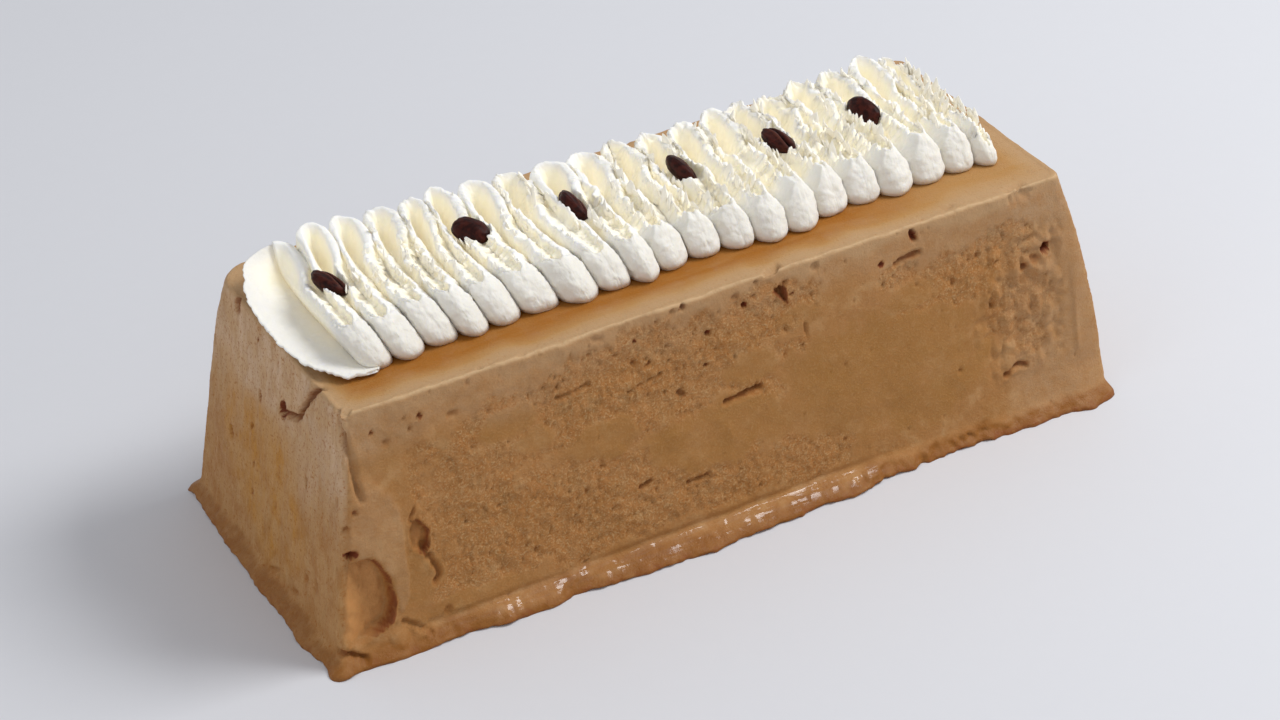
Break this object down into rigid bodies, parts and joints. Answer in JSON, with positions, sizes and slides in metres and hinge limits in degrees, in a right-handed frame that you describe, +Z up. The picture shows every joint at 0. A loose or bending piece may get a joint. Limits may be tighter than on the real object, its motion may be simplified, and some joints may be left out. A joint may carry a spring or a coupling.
{
  "type": "coffee semifreddo",
  "caption": "Frozen coffee dessert loaf with sloping crumbly walls and a melted foot, topped with a zig-zag ruffle of whipped cream and roasted coffee beans.",
  "frame": {"origin": "centre of the loaf's flat foot, on the surface it stands on", "axes": "+X along the loaf away from the end that the first sheet of cream covers, -Y towards the long side with the broken lower corner, +Z up"},
  "size_m": [0.2533, 0.1065, 0.0882],
  "materials": {
    "frozen_coffee": "frozen crumbly cream, damp at the foot",
    "whipped_cream": "soft satin cream",
    "roasted_bean": "dark roasted, slightly oily"
  },
  "bodies": {
    "root": {"semifreddo_loaf": "frozen_coffee", "cream_ruffle": "whipped_cream", "coffee_bean_1": "roasted_bean", "coffee_bean_2": "roasted_bean", "coffee_bean_3": "roasted_bean", "coffee_bean_4": "roasted_bean", "coffee_bean_5": "roasted_bean", "coffee_bean_6": "roasted_bean"}
  },
  "joints": []
}
